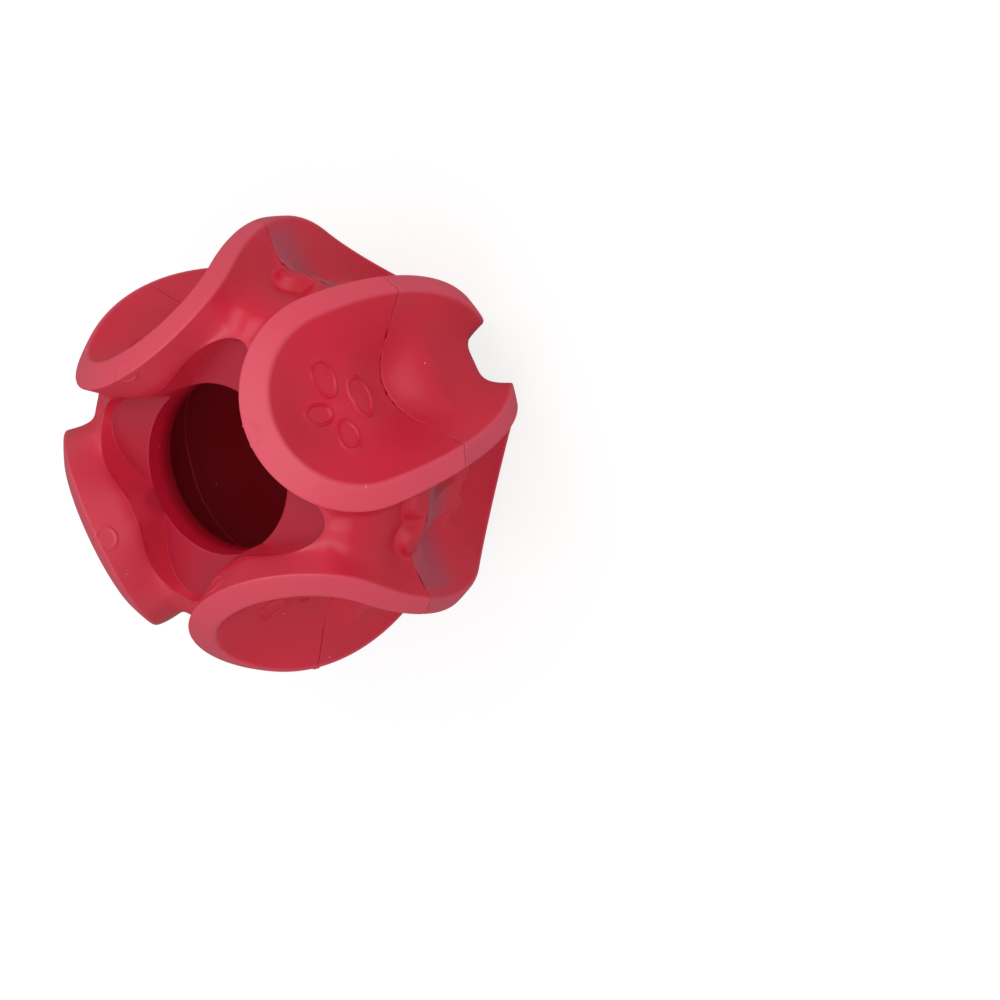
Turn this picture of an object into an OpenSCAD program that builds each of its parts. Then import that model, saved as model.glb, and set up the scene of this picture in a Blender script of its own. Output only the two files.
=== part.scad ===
// Treat dispensing ball: two moulded rubber half shells bonded near the middle.
// The origin is the ball centre and Z runs through both treat holes. Sizes in mm, angles in degrees.

/* [Ball] */
// Diameter over the ridges
ball_d = 90; // [84:0.5:100]
// Diameter of the round cavity
cavity_d = 48.6; // [44:0.2:50]
// Diameter of each treat hole
bore_d = 33.6; // [28:0.2:34]

/* [Ridge] */
// Angle from the hole axis to the middle of a lobe
lobe_tilt = 58.4; // [57:0.1:60]
// Angular radius of the ridge round a lobe
lobe_reach = 25.3; // [24:0.1:26]
// Width of the flat land on top of the ridge
land_w = 5.6; // [3:0.1:6.4]
// Width of the land where it crosses the seam
land_seam_w = 4; // [2:0.1:5]

/* [Dishes] */
// Depth of a dish under the ridge in the middle of a lobe
dish_depth = 11.8; // [10:0.1:13]
// Depth of the saddle between two lobes under the ridge
saddle_depth = 5.8; // [4:0.1:8]
// Angle from the hole axis to the top of that saddle
saddle_tilt = 54; // [52:0.5:57]
// Depth of the neck under the ridge, where it comes down to the seam
neck_depth = 8.9; // [8:0.1:10]
// Thickness of the wall between the cavity and the low end of a dish at the seam
seam_wall = 5.5; // [4.5:0.1:6.5]
// Angle on each side of the middle plane in which the floor climbs from that low end to the neck
step_angle = 9; // [7:0.5:11]
// How hard the wall of a dish drops from the land before it flattens
wall_power = 2.6; // [2:0.1:3.4]
// The same for the wall beside a neck
neck_power = 4; // [3:0.1:4.6]

/* [Pocket] */
// Gap from the treat hole to the pocket edge in front of a lobe
pocket_lobe_gap = 0.9; // [0.8:0.1:2]
// Gap from the treat hole to the pocket edge between two lobes
pocket_saddle_gap = 10.7; // [9:0.1:11.6]
// Height of the pocket edge over the ledge in front of a lobe
pocket_lobe_h = 7.1; // [6:0.1:8]
// Height of the pocket edge over the ledge between two lobes
pocket_saddle_h = 1.6; // [1.2:0.1:2.8]
// Height of the flat ledge round the treat hole over the ball centre
ledge_z = 24.3; // [23.6:0.1:24.8]
// Width of the ledge at its narrowest place
ledge_w = 0.4; // [0.4:0.1:0.8]
// How far the pocket wall leans in on its way down
pocket_draft = 0.9; // [0.5:0.1:1]

/* [Seam] */
// Height of the seam over the middle of the ball
seam_z = 4.4; // [3.8:0.1:5]
// Thickness of the cured bond line
bond_t = 0.3; // [0.2:0.05:0.6]
// How far the bond line stops short of the outside
bond_recess = 0.4; // [0.2:0.1:0.8]

/* [Mesh] */
// Rows along a ridge in one eighth of a half shell
ridge_rows = 20; // [16:2:22]
// Columns across a dish or a neck
side_cols = 9; // [7:1:10]

/* [Hidden] */
$fn = 96;
lobes = 4;
pitch = 360 / lobes;
fold = pitch / 2;
ball_r = ball_d / 2;
cavity_r = cavity_d / 2;
bore_r = bore_d / 2;
bond_half = bond_t / 2;
lift = 90 - lobe_tilt;
dish_floor_r = ball_r - dish_depth;
saddle_r = ball_r - saddle_depth;
neck_floor_r = ball_r - neck_depth;
low_floor_r = cavity_r + seam_wall;
pocket_lobe_r = bore_r + pocket_lobe_gap;
pocket_saddle_r = bore_r + pocket_saddle_gap;
pocket_lobe_z = ledge_z + pocket_lobe_h;
pocket_saddle_z = ledge_z + pocket_saddle_h;
pole_share = 0.4;
pole_rows = floor(ridge_rows * pole_share);
cols = 2 * side_cols + 1;
bore_sides = 24;
bore_ring_r = (bore_r + ledge_w / 2) / cos(180 / bore_sides);
core_sides = 2 * lobes;
ring_share = 0.2;
core_ring_r = (cavity_r + seam_wall * ring_share) / cos(180 / core_sides);
ledge_lobe_r = bore_r + ledge_w;
ledge_saddle_r = pocket_saddle_r - pocket_draft;
edge_share = 1.4;
ledge_share = 1.2;
height_share = 3;

rubber = [0.78, 0.16, 0.22];
cement = [0.45, 0.08, 0.12];

// Unit vector at a longitude and a latitude.
function at(lon, lat) = [cos(lat) * cos(lon), cos(lat) * sin(lon), sin(lat)];
function unit(v) = v / norm(v);
// Unit vector a share t of the way from a to b along the great circle.
function arc(a, b, t) = let (g = acos(min(1, a * b)))
    g < 0.001 ? a : (a * sin((1 - t) * g) + b * sin(t * g)) / sin(g);
function ease(t) = let (c = min(1, max(0, t))) c * c * (3 - 2 * c);
function mix(a, b, t) = a + (b - a) * t;
// Goes from a in front of a lobe to b between two lobes, held near a for longer as the power p grows.
function wave(a, b, lon, p) = mix(a, b, pow((1 - cos(lobes * lon)) / 2, p));

// The ridge: an arc round the lobe, then the great circle through the seam point.
lobe_dir = at(0, -lift);
to_pole = [-sin(lift), 0, -cos(lift)];
seam_dir = at(fold / 2, 0);
seam_gap = acos(lobe_dir * seam_dir);
turn = atan2(seam_dir[1], seam_dir * to_pole) - acos(tan(lobe_reach) / tan(seam_gap));
function swing(a) = cos(a) * to_pole + [0, sin(a), 0];
function round_dir(a) = cos(lobe_reach) * lobe_dir + sin(lobe_reach) * swing(a);
function round_side(a) = sin(lobe_reach) * lobe_dir - cos(lobe_reach) * swing(a);
run_side = round_side(turn);
run_dir = unit(cross(run_side, seam_dir));
arc_len = turn * sin(lobe_reach);
run_len = acos(cos(seam_gap) / cos(lobe_reach));
function land_half(s) = asin(mix(land_w, land_seam_w, ease(s / (arc_len + run_len))) / 2 / ball_r);
function ridge_dir(s) = s < arc_len
    ? round_dir(s / sin(lobe_reach))
    : cos(s - arc_len - run_len) * seam_dir + sin(s - arc_len - run_len) * run_dir;
function ridge_side(s) = s < arc_len ? round_side(s / sin(lobe_reach)) : run_side;
function edge_dir(s, side) = cos(land_half(s)) * ridge_dir(s) + side * sin(land_half(s)) * ridge_side(s);
seam_half = asin(land_seam_w / 2 / ball_r);
function edge_end(side) = arc_len + run_len - side * asin(tan(seam_half) * run_side[2] / run_dir[2]);

// Floor of the channel against latitude: down the dish, up a step at the middle plane, up to the saddle.
saddle_lat = 90 - saddle_tilt;
function step_up(lat) = ease((lat + step_angle) / step_angle / 2);
function floor_r(lat) = lat < -step_angle
    ? mix(low_floor_r, dish_floor_r, ease((-lat - step_angle) / (lift - step_angle)))
    : lat > step_angle
        ? mix(neck_floor_r, saddle_r, ease((lat - step_angle) / (saddle_lat - step_angle)))
        : mix(low_floor_r, neck_floor_r, step_up(lat));
// The pocket edge and the ledge edge at a longitude.
function edge_z(lon) = wave(pocket_lobe_z, pocket_saddle_z, lon, height_share);
function edge_r(lon) = wave(pocket_lobe_r, pocket_saddle_r, lon, edge_share);
function pocket_edge(lon) = [edge_r(lon) * cos(lon), edge_r(lon) * sin(lon), -edge_z(lon)];
function ledge_edge(lon) = let (r = wave(ledge_lobe_r, ledge_saddle_r, lon, ledge_share))
    [r * cos(lon), r * sin(lon), -ledge_z];
corner_lat = atan2(pocket_saddle_z, pocket_saddle_r);

// Where row i ends: in the middle of the dish, or in the neck or the pocket edge.
function dish_lat(i) = let (f = i / ridge_rows) -lift * (1 - f * f);
function dish_end(i) = floor_r(dish_lat(i)) * at(0, dish_lat(i));
function neck_lat(i) = corner_lat * (ridge_rows - i) / (ridge_rows - pole_rows);
function neck_r(lat) = lat < saddle_lat
    ? floor_r(lat)
    : mix(saddle_r, norm(pocket_edge(fold)), ease((lat - saddle_lat) / (corner_lat - saddle_lat)));
function neck_end(i) = i <= pole_rows
    ? pocket_edge(fold * i / pole_rows)
    : neck_r(neck_lat(i)) * at(fold, -neck_lat(i));
// A wall drops steeply from the land and flattens; the one that faces the treat hole is straight.
function power(lat) = mix(wall_power, neck_power, step_up(lat));
function ray(a, b, t, p) = mix(norm(b), ball_r, pow(1 - t, p)) * arc(a, unit(b), t);
function row_point(i, j) = let (f = i / ridge_rows)
    j <= side_cols
        ? ray(edge_dir(f * edge_end(1), 1), dish_end(i), 1 - j / side_cols, power(dish_lat(i)))
        : let (a = edge_dir(f * edge_end(-1), -1), b = neck_end(i), t = (j - side_cols - 1) / side_cols)
            mix(mix(ball_r * a, b, t), ray(a, b, t, power(neck_lat(i))), ease(i / pole_rows));
// Flatten each border of the patch onto the plane it shares with its mirror image.
function onto_fold(p) = [(p[0] + p[1]) / 2, (p[0] + p[1]) / 2, p[2]];
function border(p, i, j) = i == 0 || j == 0
    ? [p[0], 0, p[2]]
    : j == cols && i >= pole_rows ? onto_fold(p) : i == ridge_rows ? [p[0], p[1], 0] : p;
patch = [for (i = [0:ridge_rows]) [for (j = [0:cols]) border(row_point(i, j), i, j)]];
// Where column j of the patch passes the height z, searched from the middle plane towards the hole.
function level(p, q, z) = let (w = mix(p, q, (z - p[2]) / (q[2] - p[2]))) [w[0], w[1], z];
function cut_point(j, z, i) = patch[i][j][2] < z
    ? level(patch[i][j], patch[i + 1][j], z)
    : cut_point(j, z, i - 1);
// A point carried over the middle of the ball onto the other half's patch.
function over(p) = 2 * (p * seam_dir) * seam_dir - p;
function tidy(p, j) = j == 0 ? [p[0], 0, p[2]] : j == cols ? onto_fold(p) : p;
last = ridge_rows - 1;
upper_cut = [for (j = [0:cols]) tidy(cut_point(j, -seam_z - bond_half, last), j)];
lower_cut = [for (j = [0:cols]) let (q = over(cut_point(cols - j, bond_half - seam_z, last)))
    tidy([q[0], q[1], seam_z - bond_half], j)];
beyond = [for (j = [0:cols]) tidy(over(patch[last][cols - j]), j)];
// The upper half keeps the rows that lie clear of the seam in every column.
clear_rows = [for (i = [0:last]) if (max([for (p = patch[i]) p[2]]) < -seam_z - 2 * bond_t) patch[i]];
upper_rows = concat(clear_rows, [upper_cut]);
lower_rows = concat(patch, [beyond], [lower_cut]);
ledge_line = [for (i = [0:pole_rows]) let (p = ledge_edge(fold * i / pole_rows))
    i == 0 ? [p[0], 0, p[2]] : i == pole_rows ? onto_fold(p) : p];

// Eight copies of the patch: quarter turns, with every second copy mirrored.
function quarter(p, k) = k == 0 ? p : quarter([-p[1], p[0], p[2]], k - 1);
function copy(p, k) = k % 2 == 0 ? quarter(p, k / 2) : quarter([p[0], -p[1], p[2]], (k + 1) / 2);
function flat(rows) = [for (r = rows) for (x = r) x];
function block(n) = n * (cols + 1) + pole_rows + 1;
function id(n, k, i, j) = k * block(n) + i * (cols + 1) + j;
function ledge_id(n, k, i) = k * block(n) + n * (cols + 1) + i;
function facing(k, a, b, c) = k % 2 == 0 ? [a, b, c] : [a, c, b];
function quad(k, a, b, c, d) = [facing(k, a, b, c), facing(k, a, c, d)];
function turned(faces) = [for (f = faces) [f[0], f[2], f[1]]];

// Join an outer loop to an inner loop of fewer points, both running the same way round.
function near(n, outer, inner, shift) = floor(n * inner / outer + shift) % inner;
function loop_faces(out, inn, shift) = let (a = len(out), b = len(inn)) concat(
    [for (n = [0:a - 1]) [out[n], out[(n + 1) % a], inn[near(n, a, b, shift)]]],
    [for (n = [0:a - 1]) let (m = (n + 1) % a) if (near(n, a, b, shift) != near(m, a, b, shift))
        [out[m], inn[near(m, a, b, shift)], inn[near(n, a, b, shift)]]]);
function ledge_loop(n) = flat([for (k = [0:2 * lobes - 1]) k % 2 == 0
    ? [for (i = [0:pole_rows - 1]) ledge_id(n, k, i)]
    : [for (i = [pole_rows:-1:1]) ledge_id(n, k, i)]]);
function seam_loop(n) = flat([for (k = [0:2 * lobes - 1]) k % 2 == 0
    ? [for (j = [0:cols - 1]) id(n, k, n - 1, j)]
    : [for (j = [cols:-1:1]) id(n, k, n - 1, j)]]);

// The blank of a half shell, from its rows of points, with the hole's end down.
function blank_points(rows) = concat(
    [for (k = [0:2 * lobes - 1]) for (p = concat(flat(rows), ledge_line)) copy(p, k)],
    [for (n = [0:bore_sides - 1]) let (a = 360 * n / bore_sides)
        [bore_ring_r * cos(a), bore_ring_r * sin(a), -ledge_z]],
    [for (n = [0:core_sides - 1]) let (a = 360 * (n + 0.5) / core_sides)
        [core_ring_r * cos(a), core_ring_r * sin(a), rows[len(rows) - 1][0][2]]],
    [[0, 0, -ledge_z], [0, 0, rows[len(rows) - 1][0][2]]]);
function blank_faces(n) = let (
    rings = 2 * lobes * block(n),
    bore_loop = [for (m = [0:bore_sides - 1]) rings + m],
    core_loop = [for (m = [0:core_sides - 1]) rings + bore_sides + m],
    hub = rings + bore_sides + core_sides,
    skin = [for (k = [0:2 * lobes - 1]) for (i = [0:n - 2]) for (j = [0:cols - 1])
        quad(k, id(n, k, i, j), id(n, k, i + 1, j), id(n, k, i + 1, j + 1), id(n, k, i, j + 1))],
    wall = [for (k = [0:2 * lobes - 1]) for (i = [0:pole_rows - 1])
        quad(k, id(n, k, i, cols), id(n, k, i + 1, cols), ledge_id(n, k, i + 1), ledge_id(n, k, i))])
    concat(flat(skin), flat(wall),
        loop_faces(ledge_loop(n), bore_loop, 0.5), loop_faces(bore_loop, [hub], 0),
        turned(concat(loop_faces(seam_loop(n), core_loop, 0), loop_faces(core_loop, [hub + 1], 0))));

module half_shell(rows) {
    difference() {
        polyhedron(points = blank_points(rows), faces = blank_faces(len(rows)), convexity = 10);
        sphere(r = cavity_r);
        translate([0, 0, -ball_r])
            cylinder(r = bore_r, h = ball_r);
    }
}

module upper_half_shell() {
    color(rubber)
        rotate([180, 0, 0])
            half_shell(upper_rows);
}

module lower_half_shell() {
    color(rubber)
        rotate([0, 0, fold])
            half_shell(lower_rows);
}

module seam_bond() {
    points = blank_points(lower_rows);
    outline = [for (n = seam_loop(len(lower_rows))) let (p = points[n], r = norm([p[0], p[1]]))
        [p[0], p[1]] * (r - bond_recess) / r];
    color(cement)
        rotate([0, 0, fold])
            difference() {
                translate([0, 0, seam_z - bond_half])
                    linear_extrude(height = bond_t) polygon(outline);
                translate([0, 0, seam_z - bond_t])
                    cylinder(r = sqrt(cavity_r * cavity_r - seam_z * seam_z), h = 2 * bond_t);
            }
}

upper_half_shell();
lower_half_shell();
seam_bond();
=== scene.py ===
import math

import bmesh
import bpy
import numpy as np
from mathutils import Matrix, Vector


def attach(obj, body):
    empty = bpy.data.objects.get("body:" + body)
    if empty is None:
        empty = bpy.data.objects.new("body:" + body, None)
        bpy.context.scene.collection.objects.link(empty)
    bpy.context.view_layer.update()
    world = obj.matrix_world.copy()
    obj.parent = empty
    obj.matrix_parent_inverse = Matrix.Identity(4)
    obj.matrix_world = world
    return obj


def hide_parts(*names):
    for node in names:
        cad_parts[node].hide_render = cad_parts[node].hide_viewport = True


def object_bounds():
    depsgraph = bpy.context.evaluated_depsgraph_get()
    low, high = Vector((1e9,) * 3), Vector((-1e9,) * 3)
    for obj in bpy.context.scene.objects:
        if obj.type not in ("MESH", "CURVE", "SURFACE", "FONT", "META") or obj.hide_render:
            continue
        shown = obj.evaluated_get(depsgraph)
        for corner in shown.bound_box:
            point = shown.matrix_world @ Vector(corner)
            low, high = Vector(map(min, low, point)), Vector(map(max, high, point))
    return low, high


# Treat dispensing ball: two moulded rubber half shells, bonded along a seam that wanders a little.
# Lengths are millimetres and angles degrees, as in the part's source, until a mesh is made.
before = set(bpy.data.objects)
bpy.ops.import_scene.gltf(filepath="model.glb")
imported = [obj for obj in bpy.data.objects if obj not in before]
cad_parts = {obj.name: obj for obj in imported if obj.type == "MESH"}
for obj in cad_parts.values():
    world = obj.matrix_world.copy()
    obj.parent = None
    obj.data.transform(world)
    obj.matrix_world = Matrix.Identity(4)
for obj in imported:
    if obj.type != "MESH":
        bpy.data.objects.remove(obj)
cad_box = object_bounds()

MM = 0.001
DEG = math.pi / 180

# Sizes as in the part's source, save the ball's radius and the ledge. The radius is 0.1 less, which keeps
# the skin inside the solids' box.
BALL_R = 44.9
CAVITY_R = 24.3
BORE_R = 16.8
LOBE_TILT = 58.4
LOBE_REACH = 25.3
LAND_W, LAND_SEAM_W = 5.6, 4.0
# Radius of the channel's floor: at the dish's middle, at its low end, in the neck and on the saddle.
DISH_R = 33.2
LOW_R = 29.8
NECK_R = 36.1
SADDLE_R = 39.2
SADDLE_TILT = 54.0
STEP_LAT = 9.0
WALL_POWER, NECK_POWER = 2.6, 4.0
# The pocket's edge and the ledge at its foot, in front of a lobe and between two lobes. In front of a lobe
# the ledge runs out to nothing, where the part's source keeps it 0.4 wide.
POCKET_LOBE_R, POCKET_SADDLE_R = 17.7, 27.5
POCKET_LOBE_Z, POCKET_SADDLE_Z = 31.4, 25.9
EDGE_SHARE, HEIGHT_SHARE = 1.4, 3.0
LEDGE_Z = 24.3
LEDGE_LOBE_R, LEDGE_SADDLE_R, LEDGE_SHARE = 15.8, 26.6, 1.1
# Share of the ridge, from the pole, that faces the pocket, and longitude from a lobe's middle to a neck's.
POLE_SHARE = 0.4
FOLD = 45.0
LIFT = 90.0 - LOBE_TILT
SADDLE_LAT = 90.0 - SADDLE_TILT
CORNER_LAT = math.degrees(math.atan2(POCKET_SADDLE_Z, POCKET_SADDLE_R))

# The mesh: rows run along a ridge, and columns cross the dish, the land and the neck. Points closer
# together than DOUBLES metres are merged.
ROWS = 84
POLE_ROWS = 34
BEYOND_ROWS = 22
SEAM_ZONE_ROWS = 26
DISH_COLS, LAND_COLS, NECK_COLS = 42, 13, 30
WALL_COLS, LEDGE_COLS, BORE_COLS, CAVITY_COLS, LAST_COLS = 12, 9, 10, 15, 8
# The cavity's even columns end at this latitude; the last ones follow the crack.
CAVITY_LAT = 12
DOUBLES = 2e-6


# Camera

# Where the photograph shows the ball, in pixels of 1000: its middle, and the radius that it spans.
PHOTO_SIDE = 1000.0
PHOTO_X, PHOTO_Y = 293.1, 444.1
PHOTO_SPAN = 228.5
PHOTO_BALL_R = 45.0
# Distance of the camera in radii of the ball, as the photograph's perspective gives it.
SIGHT_RADII = 15.2
SENSOR_MM = 36.0


def photo_camera():
    """Camera on the photograph's line of sight, turned so that the ball sits left of the middle."""
    see = Vector((0.6249067, -0.0833670, 0.7762355))
    up = Vector((0.3683627, 0.9081305, -0.1990172))
    right = Vector((0.6883317, -0.4103034, -0.5982062))
    away = SIGHT_RADII * PHOTO_BALL_R * MM
    centre_x, centre_y = PHOTO_X - PHOTO_SIDE / 2, PHOTO_SIDE / 2 - PHOTO_Y
    focal = PHOTO_SPAN * SIGHT_RADII
    for _ in range(4):
        to_ball = Vector((centre_x, centre_y, -focal)).normalized()
        focal = PHOTO_SPAN * SIGHT_RADII * -to_ball.z
    turn = to_ball.rotation_difference(Vector((0, 0, -1))).to_matrix()
    basis = Matrix((right, up, see)).transposed() @ turn
    cam = bpy.data.objects.new("photo_camera", bpy.data.cameras.new("photo_camera"))
    cam.matrix_world = Matrix.Translation(see * away) @ basis.to_4x4()
    cam.data.sensor_width = SENSOR_MM
    cam.data.lens = focal * SENSOR_MM / PHOTO_SIDE
    cam.data.clip_start = 0.01
    cam.data.clip_end = 20.0
    bpy.context.collection.objects.link(cam)
    bpy.context.scene.camera = cam
    return see, up, right


SEE, UP, RIGHT = photo_camera()


# The winding ridge

def unit(v):
    return v / np.linalg.norm(v, axis=-1, keepdims=True)


def at(lon, lat):
    """Unit vector at a longitude and a latitude."""
    lon, lat = np.broadcast_arrays(np.asarray(lon, float) * DEG, np.asarray(lat, float) * DEG)
    return np.stack([np.cos(lat) * np.cos(lon), np.cos(lat) * np.sin(lon), np.sin(lat)], -1)


def ease(t):
    """Three t squared less two t cubed, with t held between 0 and 1."""
    c = np.clip(t, 0, 1)
    return c * c * (3 - 2 * c)


def mix(a, b, t):
    return a + (b - a) * t


def arc(a, b, t):
    """Point a share t of the way from a to b along the great circle through both."""
    g = np.arccos(np.clip((a * b).sum(-1, keepdims=True), -1, 1))
    return (a * np.sin((1 - t) * g) + b * np.sin(t * g)) / np.maximum(np.sin(g), 1e-9)


def wave(a, b, lon, power):
    """From a at a lobe's middle to b between two lobes: half of one less cos(4 lon), to a power."""
    return mix(a, b, ((1 - np.cos(4 * lon * DEG)) / 2) ** power)


REACH = LOBE_REACH * DEG
LOBE_DIR = at(0, -LIFT)
TO_POLE = at(180, -LOBE_TILT)
SEAM_DIR = at(FOLD / 2, 0)
SEAM_GAP = math.acos(LOBE_DIR @ SEAM_DIR)
TURN = math.atan2(SEAM_DIR[1], SEAM_DIR @ TO_POLE) - math.acos(math.tan(REACH) / math.tan(SEAM_GAP))
ARC_LEN = TURN * math.sin(REACH)
RUN_LEN = math.acos(math.cos(SEAM_GAP) / math.cos(REACH))


def swing(a):
    """Unit vector square to the lobe's middle, turned by a from the pole's side."""
    a = np.asarray(a, float)[..., None]
    return np.cos(a) * TO_POLE + np.sin(a) * np.array([0.0, 1.0, 0.0])


RUN_SIDE = math.sin(REACH) * LOBE_DIR - math.cos(REACH) * swing(TURN)
RUN_DIR = unit(np.cross(RUN_SIDE, SEAM_DIR))


def edge(s, side):
    """Edge of the land at arc length s: the ridge's centre line pushed square to itself.

    The centre line is an arc of angular radius REACH round the lobe, then the great circle that
    leaves it smoothly and passes through the seam point."""
    w = swing(s / math.sin(REACH))
    on_arc = math.cos(REACH) * LOBE_DIR + math.sin(REACH) * w
    side_arc = math.sin(REACH) * LOBE_DIR - math.cos(REACH) * w
    t = (s - ARC_LEN - RUN_LEN)[..., None]
    on_run = np.cos(t) * SEAM_DIR + np.sin(t) * RUN_DIR
    first = (s < ARC_LEN)[..., None]
    half = np.arcsin(mix(LAND_W, LAND_SEAM_W, ease(s / (ARC_LEN + RUN_LEN))) / 2 / BALL_R)[..., None]
    push = np.where(first, side_arc, RUN_SIDE)
    return np.cos(half) * np.where(first, on_arc, on_run) + side * np.sin(half) * push


def edge_end(side):
    """Arc length at which an edge of the land meets the middle plane."""
    half = math.asin(LAND_SEAM_W / 2 / BALL_R)
    return ARC_LEN + RUN_LEN - side * math.asin(math.tan(half) * RUN_SIDE[2] / RUN_DIR[2])


def step_up(lat):
    """Share of the way up the step across the middle plane, from the dish's low end to the neck."""
    return ease(lat / STEP_LAT / 2 + 0.5)


def floor_r(lat):
    """Radius of the channel's floor: down the dish, up a steep step and on up to the saddle."""
    dish = mix(LOW_R, DISH_R, ease((-lat - STEP_LAT) / (LIFT - STEP_LAT)))
    neck = mix(NECK_R, SADDLE_R, ease((lat - STEP_LAT) / (SADDLE_LAT - STEP_LAT)))
    step = mix(LOW_R, NECK_R, step_up(lat))
    return np.where(np.abs(lat) < STEP_LAT, step, np.where(lat < 0, dish, neck))


def wall_power(lat):
    """How hard a wall drops from the land: soft in the dish and harder beside the neck."""
    return mix(WALL_POWER, NECK_POWER, step_up(lat))


def loop_point(lon, radius, z):
    return np.stack([radius * np.cos(lon * DEG), radius * np.sin(lon * DEG), z + 0 * lon], -1)


def pocket_radius(lon):
    return wave(POCKET_LOBE_R, POCKET_SADDLE_R, lon, EDGE_SHARE)


def pocket_height(lon):
    return wave(POCKET_LOBE_Z, POCKET_SADDLE_Z, lon, HEIGHT_SHARE)


def ledge_radius(lon):
    return wave(LEDGE_LOBE_R, LEDGE_SADDLE_R, lon, LEDGE_SHARE)


def pocket_edge(lon):
    return loop_point(lon, pocket_radius(lon), -pocket_height(lon))


def ray(a, b, t, power):
    """Wall from the land's edge a to the end b, for shares t from 0 to 1.

    The direction swings from a to b, and the radius falls to b's by one less (1 - t) to a power."""
    r = mix(np.linalg.norm(b, axis=-1)[:, None], BALL_R, np.clip(1 - t, 0, 1)[None] ** power[:, None])
    return arc(a[:, None], unit(b)[:, None], t[None, :, None]) * r[..., None]


def skin(f, t_dish, t_land, t_neck):
    """Outside of one eighth of a half shell, pole down, for row shares f along the ridge.

    A row runs from the middle of the dish over the land to the neck or the pocket's edge. Walls
    follow ray(), except that the one above the pocket runs straight and turns to ray() by POLE_SHARE."""
    inner, outer = edge(f * edge_end(1), 1), edge(f * edge_end(-1), -1)
    lat = -LIFT * (1 - f * f)
    dish = floor_r(lat)[:, None] * at(0, lat)
    dish_side = ray(inner, dish, t_dish, wall_power(lat))
    rim = pocket_edge(FOLD * np.minimum(f / POLE_SHARE, 1))
    lat = CORNER_LAT * (1 - f) / (1 - POLE_SHARE)
    corner_r = np.linalg.norm(pocket_edge(np.array(FOLD)))
    climb = mix(SADDLE_R, corner_r, ease((lat - SADDLE_LAT) / (CORNER_LAT - SADDLE_LAT)))
    neck = np.where((f <= POLE_SHARE)[:, None], rim,
                    np.where(lat < SADDLE_LAT, floor_r(lat), climb)[:, None] * at(FOLD, -lat))
    straight = mix(BALL_R * outer[:, None], neck[:, None], t_neck[None, :, None])
    curved = ray(outer, neck, t_neck, wall_power(np.minimum(lat, CORNER_LAT)))
    side = mix(straight, curved, ease(f / POLE_SHARE)[:, None, None])
    land = BALL_R * arc(inner[:, None], outer[:, None], t_land[None, :, None])
    return np.concatenate([dish_side[:, ::-1], land, side], 1)


def grow(first, last, n):
    """Shares from above 0 to 1 in n steps that grow smoothly from first to about last."""
    steps = mix(first, last, ease(np.arange(n) / (0.5 * n)))
    return np.minimum(np.cumsum(steps) / steps.sum(), 1)


# Shares of the way from the land's edges to the dish's middle and to the neck's, and across the land.
T_DISH = grow(0.0055, 0.030, DISH_COLS)
T_NECK = grow(0.007, 0.045, NECK_COLS)
T_LAND = (1 - np.cos(np.pi * np.linspace(0, 1, LAND_COLS + 1))) / 2
INNER_COL = len(T_DISH)
OUTER_COL = INNER_COL + len(T_LAND) - 1


def round_over(p, cols, passes, reach):
    """Round the creases at some columns: repeated averaging along each row, fading away from them."""
    c = np.arange(p.shape[1])
    w = np.zeros(len(c))
    for col in cols:
        w = np.maximum(w, np.exp(-((c - col) / reach) ** 2))
    w = w[1:-1, None] / 4
    for _ in range(passes):
        p[:, 1:-1] += w * (p[:, :-2] - 2 * p[:, 1:-1] + p[:, 2:])
    return p


def over(p):
    """Half turn about the seam point: it carries one half's outside onto the other's."""
    return 2 * (p @ SEAM_DIR)[..., None] * SEAM_DIR - p


def outside():
    """Rows of one eighth from the pole over the middle plane and on across the other half's form."""
    here = skin(np.arange(ROWS + 1) / ROWS, T_DISH, T_LAND, T_NECK)
    there = skin(1 - np.arange(1, BEYOND_ROWS + 1) / ROWS, T_NECK, 1 - T_LAND[::-1], T_DISH)
    rows = np.concatenate([here, over(there)[:, ::-1]])
    rows = round_over(rows, [INNER_COL], 6, 2.2)
    return round_over(rows, [OUTER_COL], 5, 2.5)


def inside():
    """Pocket wall, ledge, treat hole and cavity of one eighth, in columns from the pocket's edge."""
    lon = FOLD * np.arange(POLE_ROWS + 1) / POLE_ROWS
    top = pocket_edge(lon)
    low = loop_point(lon, ledge_radius(lon), -LEDGE_Z)
    ring = loop_point(lon, BORE_R, -LEDGE_Z)
    mouth_z = -math.sqrt(CAVITY_R ** 2 - BORE_R ** 2)
    mouth = loop_point(lon, BORE_R, mouth_z)

    def run(a, b, n):
        """Columns on from a to b, closer together near both."""
        t = (1 - np.cos(np.pi * np.arange(1, n + 1) / n)) / 2
        return mix(a[:, None], b[:, None], t[None, :, None])

    lats = np.linspace(math.degrees(math.asin(mouth_z / CAVITY_R)), -CAVITY_LAT, CAVITY_COLS + 1)[1:]
    cavity = at(lon[:, None], lats[None]) * CAVITY_R
    wall = run(top, low, WALL_COLS)
    radius = np.hypot(wall[..., 0], wall[..., 1])[..., None]
    wall[..., :2] *= np.maximum(radius, BORE_R) / radius
    ledge = run(wall[:, -1], ring, LEDGE_COLS)
    return np.concatenate([wall, ledge, run(ring, mouth, BORE_COLS), cavity], 1)


# The seam

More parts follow.
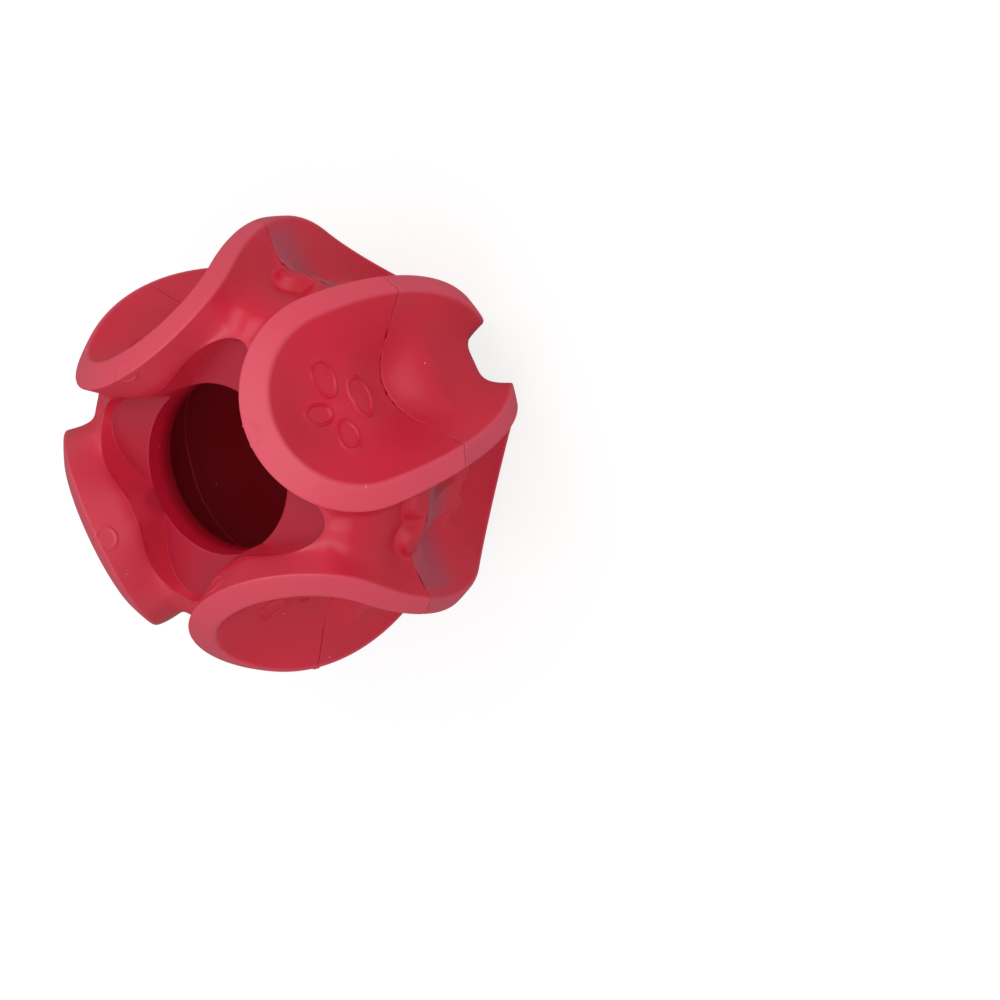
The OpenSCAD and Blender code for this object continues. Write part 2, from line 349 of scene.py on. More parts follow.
# Height of the seam over the middle plane against longitude.
SEAM_LON = np.array([-180, -158, -135, -120, -110, -107, -98, -84, -72, -63, -60, -55, -52, -48, -42,
                     -30, -23, -20, -18, -12, -5, 0, 6, 12, 16, 18, 20, 23, 34, 45, 55, 58, 62, 65, 78,
                     92, 105, 110, 122, 135, 150, 165])
SEAM_UP = np.array([3.9, 4.3, 4.5, 3.6, 2.1, 2.9, 3.0, 4.0, 4.3, 6.6, 5.5, 5.5, 4.5, 3.6, 4.4, 4.8, 5.1,
                    5.0, 3.2, 3.9, 3.9, 4.3, 4.2, 4.1, 4.2, 3.1, 3.4, 3.9, 4.7, 4.4, 3.5, 5.0, 4.9, 3.9,
                    4.5, 3.4, 2.3, 1.4, 3.6, 4.5, 4.1, 3.4])


def wobble(lon, cycles, seed):
    """Sum of sines round the ball with whole numbers of cycles near the one given, from -1 to 1."""
    total = 0
    for n in range(5):
        count = round(cycles * (1 + 0.23 * n))
        total = total + np.sin(count * lon * DEG + seed * (n + 1) * 1.7 + n * n)
    return total / 3.2


def seam_height(lon):
    """The seam's height, averaged over a few degrees, with a fine waver."""
    total = 0
    for shift in (-3, -1.5, 0, 1.5, 3):
        total = total + np.interp(lon + shift, SEAM_LON, SEAM_UP, period=360)
    return total / 5 + 0.09 * wobble(lon, 41, 1) + 0.035 * wobble(lon, 150, 2)


# Nicks where a crumb of cement or rubber has come out of the crack: longitude, half length, added width.
NICKS = ((15.5, 0.8, 0.5), (11, 0.6, 0.25), (4, 0.7, 0.25), (-0.5, 1.0, 0.4), (-5, 0.6, 0.25),
         (-20, 0.6, 0.2), (-29, 1.8, 0.5), (-45, 0.9, 0.35), (-52, 0.6, 0.3), (-61, 0.9, 0.45),
         (-69, 0.6, 0.3), (58, 1.0, 0.5), (47.5, 1.1, 0.55), (42, 0.9, 0.55), (-114, 0.8, 0.3),
         (104, 0.9, 0.4), (151, 1.0, 0.35), (-158, 0.8, 0.4))
# Crumbs of flash left standing on the lands' edges: longitude, half length, height.
CRUMBS = ((-66.5, 1.3, 0.3), (-24, 0.6, 0.2), (113, 1.0, 0.25))
# The most that flash stands proud, and the distance from the crack within which it stands.
MAX_FLASH, FLASH_REACH = 0.32, 0.4


def bumps(lon, table):
    """Sum of bell-shaped bumps at the longitudes of a table."""
    total = 0
    for middle, reach, size in table:
        away = (lon - middle + 180) % 360 - 180
        total = total + size * np.exp(-(away / reach) ** 2)
    return total


# The crack's least width, and how much wider it gets where it is open.
CRACK_HAIR, CRACK_OPEN = 0.06, 0.16


def seam_gap(lon):
    """Width of the crack: closed to a hair in places and open in others."""
    swell = np.clip(0.5 + 0.75 * wobble(lon, 17, 5), 0, 1) ** 1.5
    return CRACK_HAIR + CRACK_OPEN * swell + bumps(lon, NICKS)


def flash(lon):
    """How far the lips of the seam stand proud where rubber was squeezed out."""
    swell = np.clip(wobble(lon, 23, 9) * 1.4 + 0.5 * wobble(lon, 77, 4) - 0.75, 0, 1)
    return np.minimum(0.28 * swell + bumps(lon, CRUMBS), MAX_FLASH)


def longitude(p):
    return np.degrees(np.arctan2(p[..., 1], p[..., 0]))


# The crack's rounded lips, row by row: the depth under the surface, and the distance left to the end.
LIP_DROP = np.array([0.0, 0.0, 0.01, 0.05, 0.13, 0.24])
LIP_BACK = np.array([0.9, 0.55, 0.3, 0.14, 0.04, 0.0])


def run_to(rows, z_end):
    """Rows that end at the height z_end of each column instead of carrying on.

    The last rows are spread again along their own columns, which keeps the surface where it was."""
    start = ROWS - SEAM_ZONE_ROWS
    line = rows[start:]
    share = np.linspace(0, 1, SEAM_ZONE_ROWS + 1)[:, None]
    z = mix(line[0, :, 2], z_end - LIP_BACK[0], share)
    z = np.concatenate([z, z_end[None] - LIP_BACK[1:, None]])
    k = np.clip((line[None, :, :, 2] < z[:, None]).sum(1) - 1, 0, len(line) - 2)[..., None]
    a, b = np.take_along_axis(line, k, 0), np.take_along_axis(line, k + 1, 0)
    w = (z[..., None] - a[..., 2:]) / (b[..., 2:] - a[..., 2:])
    return np.concatenate([rows[:start], mix(a, b, w)])


# Building a half shell

# Share of the crack's width that is left at the cavity.
INNER_OPENING = 0.1


def eighth(p, k):
    """Copy k of a patch: quarter turns about the axis, with every second copy mirrored."""
    q = p * np.array([1, -1, 1]) if k % 2 else p.copy()
    a = (k + 1) // 2 * math.pi / 2
    c, s = round(math.cos(a)), round(math.sin(a))
    return q @ np.array([[c, s, 0], [-s, c, 0], [0, 0, 1]])


def quads(n, m, base, flip):
    """Quads of a grid of n rows of m points that starts at index base."""
    a = base + np.arange(n - 1)[:, None] * m + np.arange(m - 1)[None, :]
    q = np.stack([a, a + 1, a + m + 1, a + m], -1).reshape(-1, 4)
    return q[:, ::-1] if flip else q


def zipper(v, out, inn):
    """Triangles between two rings that run the same way round, matched by their angle."""
    ao, ai = (np.unwrap(np.arctan2(v[r, 1], v[r, 0])) for r in (out, inn))
    ai += 2 * math.pi * round((ao[0] - ai[0]) / (2 * math.pi))

    def half_way(a):
        nxt = np.roll(a, -1)
        nxt[-1] += 2 * math.pi
        return (a + nxt) / 2

    near_i = np.searchsorted(half_way(ai), half_way(ao)) % len(inn)
    near_o = np.searchsorted(half_way(ao), half_way(ai)) % len(out)
    a = np.stack([out, inn[near_i], np.roll(out, -1)], -1)
    b = np.stack([inn, np.roll(inn, -1), out[near_o]], -1)
    return np.concatenate([a, b])


def last_columns(end, z_end):
    """Columns on the cavity's wall from the points end to the height z_end in each row."""
    z = mix(end[:, 2:], z_end[:, None], np.linspace(0, 1, LAST_COLS + 1)[None, 1:])
    rho = np.sqrt(CAVITY_R ** 2 - z ** 2)
    lon = np.arctan2(end[:, 1], end[:, 0])[:, None]
    return np.stack([rho * np.cos(lon), rho * np.sin(lon), z], -1)


def half_shell_arrays(upper):
    """Points, quads and triangles of a half shell, and its outer and inner rings at the crack."""
    rows, core = outside(), inside()
    side = 1 if upper else -1
    c, s = math.cos(FOLD * DEG), math.sin(FOLD * DEG)
    pose = np.array([[1, 0, 0], [0, -1, 0], [0, 0, -1]] if upper else [[c, s, 0], [-s, c, 0], [0, 0, 1]])
    points, faces, base = [], [], 0
    ring_out, ring_in = [], []

    def target(p, opening):
        """Local height at which the half ends under the points p, for a share of the crack's width."""
        lon = longitude(p @ pose)
        return -side * seam_height(lon) - opening * seam_gap(lon) / 2

    for k in range(8):
        full = eighth(rows, k)
        flip = k % 2 == 1
        z_end = target(full[ROWS], 1)
        z_end = target(run_to(full, z_end)[-1], 1)
        p = run_to(full, z_end)
        lip = LIP_DROP[None, :] - flash(longitude(p[-1] @ pose))[:, None] * (LIP_BACK < FLASH_REACH)
        flat = p[-len(LIP_DROP):, :, :2]
        radius = np.linalg.norm(flat, axis=-1, keepdims=True)
        flat *= 1 - lip.T[..., None] / radius
        well = eighth(core, k)
        end = well[:, -1]
        last = last_columns(end, target(end, INNER_OPENING))
        well = np.concatenate([p[:POLE_ROWS + 1, -1:], well, last], 1)
        for grid in (p, well):
            n, m, _ = grid.shape
            points.append(grid.reshape(-1, 3))
            faces.append(quads(n, m, base, not flip))
            if grid is p:
                out = base + (n - 1) * m + np.arange(m)
            else:
                inn = base + np.arange(n) * m + m - 1
            base += n * m
        ring_out.append(out[:0:-1] if flip else out[:-1])
        ring_in.append(inn[:0:-1] if flip else inn[:-1])
    v = np.concatenate(points)
    ring_out, ring_in = np.concatenate(ring_out), np.concatenate(ring_in)
    return v @ pose, np.concatenate(faces), zipper(v, ring_out, ring_in), ring_out, ring_in


def make_mesh(name, v, faces):
    """Mesh object at the origin from points in millimetres and lists of faces of equal length."""
    counts = np.concatenate([np.full(len(f), f.shape[1]) for f in faces])
    loops = np.concatenate([f.ravel() for f in faces]).astype(np.int32)
    me = bpy.data.meshes.new(name)
    me.vertices.add(len(v))
    me.vertices.foreach_set("co", (v * MM).astype(np.float32).ravel())
    me.loops.add(len(loops))
    me.loops.foreach_set("vertex_index", loops)
    me.polygons.add(len(counts))
    me.polygons.foreach_set("loop_start", (np.cumsum(counts) - counts).astype(np.int32))
    me.polygons.foreach_set("use_smooth", np.ones(len(counts), bool))
    me.update(calc_edges=True)
    ob = bpy.data.objects.new(name, me)
    bpy.context.collection.objects.link(ob)
    return ob


# Figures moulded into the rubber. Their functions give a depth under the surface and the distance from
# the figure's edge, near which the faces are split.

# Nothing outside is nearer the centre than SKIN_R, and the upper half's outside is above UPPER_Z.
SKIN_R, UPPER_Z = 28.5, 4
# A distance that stands for a figure that isn't near, and the distance within which faces are split.
FAR, SPLIT_WITHIN = 9.0, 0.9
# The ovals lie on the dish's floor, and the bone under the lands.
OVAL_TOP_R, BONE_TOP_R = 37.5, 42
# Depth and half width of the ovals' groove, and how far the floor inside it lies lower.
OVAL_DEEP, OVAL_WIDE, OVAL_SINK = 0.5, 0.27, 0.1


def oval_edge(u, v, centre, half, lean, taper):
    """Distance from an egg-shaped outline: negative inside. Its long axis leans from the u axis."""
    du, dv = u - centre[0], v - centre[1]
    c, s = math.cos(lean * DEG), math.sin(lean * DEG)
    x, y = (c * du + s * dv) / half[0], (c * dv - s * du) / half[1]
    q = np.hypot(x, y / (1 + taper * x))
    return (q - 1) * math.sqrt(half[0] * half[1])


# Each oval's middle, half lengths, lean and taper, in the plane of lobe_plane().
OVALS = (((6.17, 0.97), (3.65, 2.3), 3, 0.10), ((0.72, -5.1), (3.95, 2.3), -2, 0.08),
         ((0.18, 5.27), (2.95, 2.05), 79, -0.10), ((-5.65, 1.09), (3.1, 2.15), -7, -0.12))


def lobe_plane(p):
    """Millimetres east and north of the upper half's nearest lobe, on the ball of the point's radius."""
    r = np.linalg.norm(p, axis=-1)
    lat = np.degrees(np.arcsin(p[:, 2] / r))
    lon = (longitude(p) + 45) % 90 - 45
    return r * np.cos(lat * DEG) * lon * DEG, r * (lat - LIFT) * DEG, r


def oval_depth(p):
    """Four ovals in each dish of the upper half: a rounded groove round a slightly lower floor."""
    u, v, r = lobe_plane(p)
    d = np.full(len(p), FAR)
    for oval in OVALS:
        d = np.minimum(d, oval_edge(u, v, *oval))
    d = np.where((r > SKIN_R) & (r < OVAL_TOP_R) & (p[:, 2] > UPPER_Z), d, FAR)
    return OVAL_DEEP * np.exp(-(d / OVAL_WIDE) ** 2) + OVAL_SINK * ease(-d), np.abs(d)


# Height of the bone's flat top against latitude in the lower half's dish and on over the seam.
BONE_LAT = np.array([-34, -24, -14, -6, 2, 8, 12, 18])
BONE_TOP = np.array([35.7, 34.4, 33.2, 33.5, 35.2, 36.7, 37.2, 37.4])
# The width of its sloping sides, the depth of the dip round the end that it reaches in the neck, and how
# far under the middle plane its middle lies along the ball.
BONE_SLOPE = 2.4
BONE_DIP = 1.5
BONE_DOWN = 4.0
# Half width and half length of its bar, places and radius of its knobs, and reach of the smooth joint.
BAR_HALF, BAR_LONG = 3.9, 10.4
KNOB_SIDE, KNOB_END, KNOB_R = 4.3, 10.4, 3.75
KNOB_BLEND = 3.0


def bone_edge(x, y):
    """Distance from a bone's outline: two knobs at each end of a waisted bar, joined smoothly."""
    d = np.maximum(np.abs(x) - BAR_HALF, np.abs(y) - BAR_LONG)
    for sx in (-1, 1):
        for sy in (-1, 1):
            knob = np.hypot(x - sx * KNOB_SIDE, y - sy * KNOB_END) - KNOB_R
            h = np.clip(0.5 + (d - knob) / KNOB_BLEND, 0, 1)
            d = mix(d, knob, h) - KNOB_BLEND / 2 * h * (1 - h)
    return d


def bone_place(p):
    """Radius and latitude of points, and distance from the bone's outline at half its height."""
    r = np.linalg.norm(p, axis=-1)
    lat = np.degrees(np.arcsin(p[:, 2] / r))
    lon = longitude(p) % 90 - 45
    return r, lat, bone_edge(np.hypot(p[:, 0], p[:, 1]) * lon * DEG, r * lat * DEG + BONE_DOWN)


def raise_bone(p):
    """A flat-topped bone that stands in each dish of the lower half and crosses the seam.

    Its sides slope over BONE_SLOPE, and the neck's floor dips a little round the end that it reaches."""
    r, lat, d = bone_place(p)
    skin_only = r > SKIN_R
    top = sum(np.interp(lat + shift, BONE_LAT, BONE_TOP) for shift in (-4, -2, 0, 2, 4)) / 5
    dip = BONE_DIP * np.exp(-(np.maximum(d, 0) / 5) ** 2) * ease((lat - 4) / 6) * ease((43 - r) / 4)
    low = r - dip * skin_only
    share = np.clip(0.5 - d / BONE_SLOPE, 0, 1) * skin_only * (r < BONE_TOP_R)
    return p * (mix(low, np.maximum(low, top), share) / r)[:, None]


def bone_near(p):
    """Distance from the bone's sloping sides."""
    r, _, d = bone_place(p)
    return np.where((r > SKIN_R) & (r < BONE_TOP_R), np.abs(d) - 0.7, FAR)


# The round marks: radius, depth and half width of the groove, and then the longitude, latitude and
# radius of the middle of each one on the upper half.
MARK_ROUND, MARK_DEEP, MARK_WIDE = 2.1, 0.2, 0.22
MARKS = ((2.8, 59.5, 44.6), (87.1, 59.5, 44.6), (-171.7, 59.9, 43.2), (-97.7, 60.1, 41.0))


def mark_depth(p):
    """A shallow round ejector mark on the outer wall of each lobe, near the pole."""
    d = np.full(len(p), FAR)
    for lon, lat, r in MARKS:
        for turn, side in ((0, 1), (FOLD, -1)):
            d = np.minimum(d, np.linalg.norm(p - r * at(lon + turn, side * lat), axis=-1) - MARK_ROUND)
    return MARK_DEEP * np.exp(-(d / MARK_WIDE) ** 2), np.abs(d)


# Where the rubber's colour differs, by wear and by painted light and shade, as shares from 0 to 1 that the
# finish reads as attributes

def off_lobe(p):
    """Degrees of longitude from the nearest lobe's middle in the point's own half."""
    return np.abs((longitude(p) + np.where(p[:, 2] > UPPER_Z, 45, 0)) % 90 - 45)


def wear_and_light_share(p):
    """How pale the rubber is made: the lands, partly by wear and partly by a painted sheen, and less so
    the outer walls towards the pole, where it is painted light.

    The pocket's wall is a little paler too, as painted light, and the sharp edges of the pocket and of the
    bone's top have a thin painted highlight."""
    r = np.linalg.norm(p, axis=-1)
    lat = np.degrees(np.arcsin(p[:, 2] / r))
    local = off_lobe(p)
    # Lands: paler, partly by wear and partly by a painted sheen.
    land = ease((r - 43.9) / 0.8)
    from_lobe = np.degrees(np.arccos(np.clip((at(local, np.abs(lat)) * at(0, LIFT)).sum(-1), -1, 1)))
    # Outer walls towards the pole: painted light.
    wall = 0.7 * ease((r - 36) / 3) * ease((np.abs(lat) - 34) / 12) * ease((from_lobe - 24) / 2)
    rho = np.hypot(p[:, 0], p[:, 1])
    rim = np.hypot(rho - pocket_radius(local), np.abs(p[:, 2]) - pocket_height(local))
    # The pocket's sharp edge, and more faintly the bone top's edges, get a thin painted highlight.
    line = 0.8 * np.exp(-(rim / 0.2) ** 2)
    from_top = bone_place(p)[2] + BONE_SLOPE / 2
    line = np.maximum(line, 0.12 * np.exp(-(from_top / 0.25) ** 2) * (np.abs(r - 36) < 3.5))
    # Pocket's wall: a little painted light.
    well = (rho < pocket_radius(local) - 0.1) & (np.abs(p[:, 2]) > LEDGE_Z + 0.05)
    return np.maximum(np.maximum(land, wall), np.maximum(line, 0.3 * well))


def ledge_shade_share(p):
    """How much painted shade darkens the rubber: all of it on the ledge at the pocket's foot."""
    rho = np.hypot(p[:, 0], p[:, 1])
    level = np.abs(np.abs(p[:, 2]) - LEDGE_Z) < 0.03
    return (level & (rho > BORE_R - 0.05) & (rho < ledge_radius(off_lobe(p)) + 0.1)).astype(float)


def crack_sheen_share(p):
    """How much painted grey sheen the lower half has: most beside the crack in its dishes, less on the
    lands.
    """
    r = np.linalg.norm(p, axis=-1)
    beside = ease((30 - np.abs(longitude(p) % 90 - 45)) / 12)
    share = ease((p[:, 2] + 13) / 16) * beside * mix(1, 0.45, ease((r - 41.5) / 2))
    return 0.8 * share * (r > SKIN_R)


def read_rows(items, key):
    """Triples of numbers of a mesh's items, one row each."""
    values = np.empty(len(items) * 3, np.float32)
    items.foreach_get(key, values)
    return values.reshape(-1, 3)


def put_points(me, p):
    """Move a mesh's points to p, in millimetres."""
    me.vertices.foreach_set("co", (p * MM).astype(np.float32).ravel())
    me.update()


def split_faces(me, depths):
    """Merge doubled points and split the faces near the figures' edges."""
    bm = bmesh.new()
    bm.from_mesh(me)
    bmesh.ops.remove_doubles(bm, verts=bm.verts, dist=DOUBLES)
    bm.to_mesh(me)
    co = read_rows(me.vertices, "co").astype(float) / MM
    near = bone_near(co)
    for depth in depths:
        near = np.minimum(near, depth(co)[1])
    ends = np.empty(len(me.edges) * 2, np.int32)
    me.edges.foreach_get("vertices", ends)
    close = (near < SPLIT_WITHIN)[ends].reshape(-1, 2).all(1)
    bm.edges.ensure_lookup_table()
    edges = [bm.edges[i] for i in np.flatnonzero(close)]
    bmesh.ops.subdivide_edges(bm, edges=edges, cuts=1, use_grid_fill=True)
    bm.to_mesh(me)
    bm.free()


def emboss(me, depths, shares):
    """Split the faces near the figures' edges, raise the bones, sink the marks and note the wear and the
    painted light and shade.
    """
    split_faces(me, depths)
    co = raise_bone(read_rows(me.vertices, "co").astype(float) / MM)
    put_points(me, co)
    sink = sum(depth(co)[0] for depth in depths)
    put_points(me, co - read_rows(me.vertex_normals, "vector") * sink[:, None])
    for name, share in shares:
        values = me.attributes.new(name, "FLOAT", "POINT")
        values.data.foreach_set("value", share(co).astype(np.float32))
    me.polygons.foreach_set("use_smooth", ~crack_faces(me))
    me.update()


def crack_faces(me):
    """Which faces lie inside the crack: they are shaded flat, so that the lips stay crisp."""
    middle = read_rows(me.polygons, "center").astype(float) / MM
    lon = longitude(middle)
    near = np.abs(middle[:, 2] - seam_height(lon)) < 0.5 * seam_gap(lon) + 0.05
    return near & (np.abs(read_rows(me.polygons, "normal")[:, 2]) > 0.8)


def half_shell(name, upper, depths, shares):
    """One half with its figures, and its rings of points at the crack outside and inside."""
    v, faces, tris, ring_out, ring_in = half_shell_arrays(upper)
    ob = make_mesh(name, v, [faces, tris])
    emboss(ob.data, depths, shares)
    return ob, raise_bone(v[ring_out]), v[ring_in]


# The bond: steps round the ball, how far it stays back from the outside and from the cavity, and its
# half thickness as a share of the crack's width, which sets it a little into both lips.
BOND_STEPS = 960
BOND_BACK, BOND_IN = 0.45, 0.2
BOND_SHARE = 0.6


def bond_ring(name, outer, inner):
    """The cured line of cement: a thin band that follows the seam, held back from both edges."""
    rings = []
    for ring, back, share in ((outer, BOND_BACK, 1), (outer, BOND_BACK, -1),
                              (inner, -BOND_IN, -INNER_OPENING), (inner, -BOND_IN, INNER_OPENING)):
        radius = np.hypot(ring[:, 0], ring[:, 1])
        share_new = np.linspace(0, 1, BOND_STEPS + 1)[:-1]
        share_old = np.linspace(0, 1, len(ring), endpoint=False)
        turn = np.interp(share_new, share_old, np.unwrap(np.arctan2(ring[:, 1], ring[:, 0])))
        lon = np.degrees(turn)
        order = np.argsort(longitude(ring))
        rho = np.interp(lon, longitude(ring)[order], radius[order], period=360) - back
        z = seam_height(lon) + share * BOND_SHARE * seam_gap(lon)
        rings.append(np.stack([rho * np.cos(turn), rho * np.sin(turn), z], -1))
    i = np.arange(BOND_STEPS)
    nxt = (i + 1) % BOND_STEPS
    faces = []
    for k in range(4):
        a, b = k * BOND_STEPS, (k + 1) % 4 * BOND_STEPS
        faces.append(np.stack([a + i, b + i, b + nxt, a + nxt], -1))
    return make_mesh(name, np.concatenate(rings), [np.concatenate(faces)])


# Finishes

# The colours that a finish is made of, in the order in which rubber() takes them: two reds that drift, a
# paler colour for wear with painted sheen, specks of dust, painted shade in the cavity, painted shade on
# the ledge, and a painted grey sheen beside the crack.
TINTS = ("Colour", "Deep", "WornAndLit", "Speck", "CavityShade", "LedgeShade", "CrackSheen")
# Depths in the cavity's wall between which the colour turns to the inner one, a painted shade.
CAVITY_SHADE_DEPTHS = (3.0, 0.6)
# The grain's bump: share of the fine grain against the coarse one, strength, and height in metres.
FINE_GRAIN, GRAIN, GRAIN_HEIGHT = 0.35, 0.35, 0.00012


def moulded_group():
    """Node group for moulded rubber: drifting colour, paler ridges from wear and painted sheen, painted
    highlights, shade and sheen, fine grain and dust.
    """
    tree = bpy.data.node_groups.new("moulded_rubber", "ShaderNodeTree")
    face = tree.interface
    for name in TINTS:
        face.new_socket(name, in_out="INPUT", socket_type="NodeSocketColor")
    face.new_socket("Rough", in_out="INPUT", socket_type="NodeSocketFloat")
    face.new_socket("Colour", in_out="OUTPUT", socket_type="NodeSocketColor")
    face.new_socket("Roughness", in_out="OUTPUT", socket_type="NodeSocketFloat")
    face.new_socket("Height", in_out="OUTPUT", socket_type="NodeSocketFloat")
    add, link = tree.nodes.new, tree.links.new
    given, put = add("NodeGroupInput"), add("NodeGroupOutput")
    coord = add("ShaderNodeTexCoord").outputs["Object"]

    def noise(scale, detail, rough=0.5):
        n = add("ShaderNodeTexNoise")
        n.inputs["Scale"].default_value = scale
        n.inputs["Detail"].default_value = detail
        n.inputs["Roughness"].default_value = rough
        link(coord, n.inputs["Vector"])
        return n.outputs["Fac"]

    def spread(value, low, high, to_low, to_high):
        n = add("ShaderNodeMapRange")
        n.inputs["From Min"].default_value = low
        n.inputs["From Max"].default_value = high
        n.inputs["To Min"].default_value = to_low
        n.inputs["To Max"].default_value = to_high
        link(value, n.inputs["Value"])
        return n.outputs["Result"]

    def combine(operation, *values):
        n = add("ShaderNodeMath")
        n.operation = operation
        for socket, value in zip(n.inputs, values):
            if isinstance(value, float):
                socket.default_value = value
            else:
                link(value, socket)
        return n.outputs[0]

    def blend(factor, a, b):
        n = add("ShaderNodeMix")
        n.data_type = "RGBA"
        link(factor, n.inputs["Factor"])
        link(a, n.inputs[6])
        link(b, n.inputs[7])
        return n.outputs[2]

    # Soft drift between two reds, then the paler places of wear and painted light, the painted shade on
    # the ledge, the painted sheen beside the crack, and the cavity's painted shade.
    drift = spread(noise(42, 3), 0.35, 0.68, 0, 1)
    colour = blend(drift, given.outputs["Colour"], given.outputs["Deep"])
    for name, tint in (("wear_and_painted_light", "WornAndLit"), ("ledge_shade", "LedgeShade"), ("crack_sheen", "CrackSheen")):
        share = add("ShaderNodeAttribute")
        share.attribute_name = name
        colour = blend(share.outputs["Fac"], colour, given.outputs[tint])
    # The cavity's wall turns darker with depth: painted shade.
    radius = add("ShaderNodeVectorMath")
    radius.operation = "LENGTH"
    link(coord, radius.inputs[0])
    start, end = ((CAVITY_R + depth) * MM for depth in CAVITY_SHADE_DEPTHS)
    inner = spread(radius.outputs["Value"], start, end, 0, 1)
    colour = blend(inner, colour, given.outputs["CavityShade"])
    # Specks of dust, in patches.
    cells = add("ShaderNodeTexVoronoi")
    cells.inputs["Scale"].default_value = 420
    link(coord, cells.inputs["Vector"])
    size = spread(noise(900, 1), 0.4, 0.75, 0.0, 0.11)
    dot = combine("LESS_THAN", cells.outputs["Distance"], size)
    few = spread(noise(160, 2), 0.56, 0.66, 0, 0.8)
    colour = blend(combine("MULTIPLY", dot, few), colour, given.outputs["Speck"])
    link(colour, put.inputs["Colour"])
    # Roughness that drifts, and the height of the grain.
    patch = spread(noise(75, 4), 0.3, 0.7, -0.06, 0.07)
    fine = spread(noise(1600, 2), 0.3, 0.7, -0.03, 0.03)
    rough = combine("ADD", combine("ADD", patch, fine), given.outputs["Rough"])
    link(rough, put.inputs["Roughness"])
    link(combine("MULTIPLY_ADD", noise(650, 4, 0.6), FINE_GRAIN, noise(110, 3)), put.inputs["Height"])
    return tree


MOULDED = moulded_group()


def rubber(name, colours, rough, gloss):
    """Material from the moulded rubber group, with its colours in the order of TINTS."""
    mat = bpy.data.materials.new(name)
    mat.use_nodes = True
    tree = mat.node_tree
    shader = tree.nodes["Principled BSDF"]
    group = tree.nodes.new("ShaderNodeGroup")
    group.node_tree = MOULDED
    for key, colour in zip(TINTS, colours):
        group.inputs[key].default_value = (*colour, 1)
    group.inputs["Rough"].default_value = rough
    bump = tree.nodes.new("ShaderNodeBump")
    bump.inputs["Strength"].default_value = GRAIN
    bump.inputs["Distance"].default_value = GRAIN_HEIGHT
    tree.links.new(group.outputs["Colour"], shader.inputs["Base Color"])
    tree.links.new(group.outputs["Roughness"], shader.inputs["Roughness"])
    tree.links.new(group.outputs["Height"], bump.inputs["Height"])
    tree.links.new(bump.outputs["Normal"], shader.inputs["Normal"])
    shader.inputs["IOR"].default_value = 1.5
    shader.inputs["Specular IOR Level"].default_value = gloss
    return mat


# The third colour is paler by wear and a painted sheen, the fifth and sixth are painted shade for the
# cavity and the ledge, and the last is a painted grey sheen.
RED_TINTS = ((0.65, 0.008, 0.038), (0.56, 0.006, 0.030), (0.68, 0.056, 0.098), (0.85, 0.30, 0.33),
             (0.30, 0.001, 0.010), (0.42, 0.006, 0.030), (0.38, 0.060, 0.100))
CEMENT_TINTS = ((0.16, 0.004, 0.012), (0.10, 0.003, 0.009), (0.16, 0.004, 0.012), (0.3, 0.05, 0.07),
                (0.04, 0.001, 0.003), (0.12, 0.003, 0.010), (0.16, 0.004, 0.012))
RED = rubber("red_rubber", RED_TINTS, rough=0.42, gloss=0.5)
CEMENT = rubber("cured_cement", CEMENT_TINTS, rough=0.6, gloss=0.2)


# The pieces

# Shares of wear, painted light and painted shade; the lower half also has a painted sheen beside the
# crack.
WEAR_AND_LIGHT = (("wear_and_painted_light", wear_and_light_share), ("ledge_shade", ledge_shade_share))
LOWER_WEAR_AND_LIGHT = WEAR_AND_LIGHT + (("crack_sheen", crack_sheen_share),)
upper_ob, _, _ = half_shell("upper_half_moulding", True, (oval_depth, mark_depth), WEAR_AND_LIGHT)
lower_ob, lower_out, lower_in = half_shell("lower_half_moulding", False, (mark_depth,), LOWER_WEAR_AND_LIGHT)
bond_ob = bond_ring("bond_line", lower_out, lower_in)
PIECES = ((upper_ob, "upper_half_shell", RED, "rubber"), (lower_ob, "lower_half_shell", RED, "rubber"),
          (bond_ob, "seam_bond", CEMENT, "bond"))
for ob, node, finish, slot in PIECES:
    ob.data.materials.append(finish)
    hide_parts(node)
    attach(ob, "root")


# Floor and light

# The floor's half side in metres, its glow to the camera, and its colour to the camera and to light.
FLOOR_HALF = 4.0
FLOOR_GLOW, FLOOR_SEEN, FLOOR_BOUNCE = 0.80, 0.25, 0.85


def choose(tree, ray_kind, yes, no):
    """Number that is yes for one kind of ray and no for the others."""
    pick = tree.nodes.new("ShaderNodeMapRange")
    pick.inputs["To Min"].default_value = no
    pick.inputs["To Max"].default_value = yes
    tree.links.new(ray_kind, pick.inputs["Value"])
    return pick.outputs["Result"]


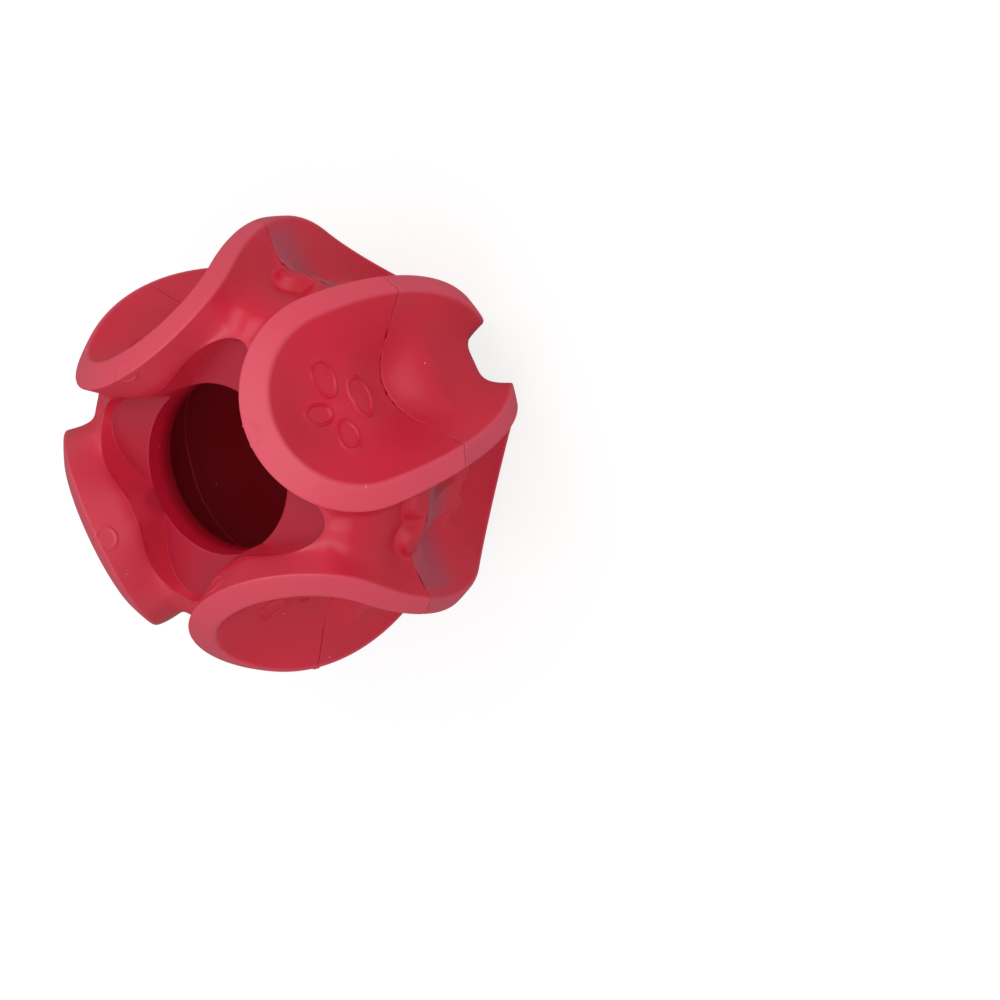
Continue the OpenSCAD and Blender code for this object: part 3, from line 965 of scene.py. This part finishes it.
def white_floor():
    """White floor, nearly shadowless to the camera, that lights the ball from below as paper would."""
    z = cad_box[0][2]
    corners = [(FLOOR_HALF * x, FLOOR_HALF * y, z) for x, y in ((-1, -1), (1, -1), (1, 1), (-1, 1))]
    me = bpy.data.meshes.new("floor")
    me.from_pydata(corners, [], [(0, 1, 2, 3)])
    ob = bpy.data.objects.new("floor", me)
    bpy.context.collection.objects.link(ob)
    mat = bpy.data.materials.new("white_floor")
    mat.use_nodes = True
    tree = mat.node_tree
    shader = tree.nodes["Principled BSDF"]
    path = tree.nodes.new("ShaderNodeLightPath")
    direct = tree.nodes.new("ShaderNodeMath")
    direct.operation = "MAXIMUM"
    tree.links.new(path.outputs["Is Camera Ray"], direct.inputs[0])
    tree.links.new(path.outputs["Is Glossy Ray"], direct.inputs[1])
    bounce = choose(tree, direct.outputs[0], FLOOR_SEEN, FLOOR_BOUNCE)
    glow = choose(tree, path.outputs["Is Camera Ray"], FLOOR_GLOW, 0.0)
    tree.links.new(bounce, shader.inputs["Base Color"])
    tree.links.new(glow, shader.inputs["Emission Strength"])
    shader.inputs["Emission Color"].default_value = (1, 1, 1, 1)
    shader.inputs["Roughness"].default_value = 0.9
    shader.inputs["Specular IOR Level"].default_value = 0.0
    me.materials.append(mat)


# Strength of the white surroundings.
WORLD = 0.46
# The lamps' side and their distance from the ball's middle, in metres.
LAMP_SIZE, LAMP_AWAY = 0.9, 1.1
# Soft lamps by shares of right, up and towards the camera, with their power in watts.
LAMPS = (("front", 0.02, 0.02, 1.0, 3.6), ("left", -0.85, 0.1, 0.5, 1.3),
         ("key", -0.45, 0.55, 0.70, 2.7), ("low", -0.35, -0.55, 0.75, 2.4))


def soft_light():
    """Even white surroundings and the wide soft lamps."""
    world = bpy.data.worlds.new("studio")
    bpy.context.scene.world = world
    world.use_nodes = True
    world.node_tree.nodes["Background"].inputs["Color"].default_value = (1, 1, 1, 1)
    world.node_tree.nodes["Background"].inputs["Strength"].default_value = WORLD
    for name, x, y, z, power in LAMPS:
        place = (RIGHT * x + UP * y + SEE * z).normalized() * LAMP_AWAY
        lamp = bpy.data.lights.new(name, "AREA")
        lamp.size = LAMP_SIZE
        lamp.energy = power
        ob = bpy.data.objects.new(name, lamp)
        turn = place.to_track_quat("Z", "Y").to_matrix().to_4x4()
        ob.matrix_world = Matrix.Translation(place) @ turn
        bpy.context.collection.objects.link(ob)


white_floor()
soft_light()
bpy.context.scene.view_settings.view_transform = "Standard"
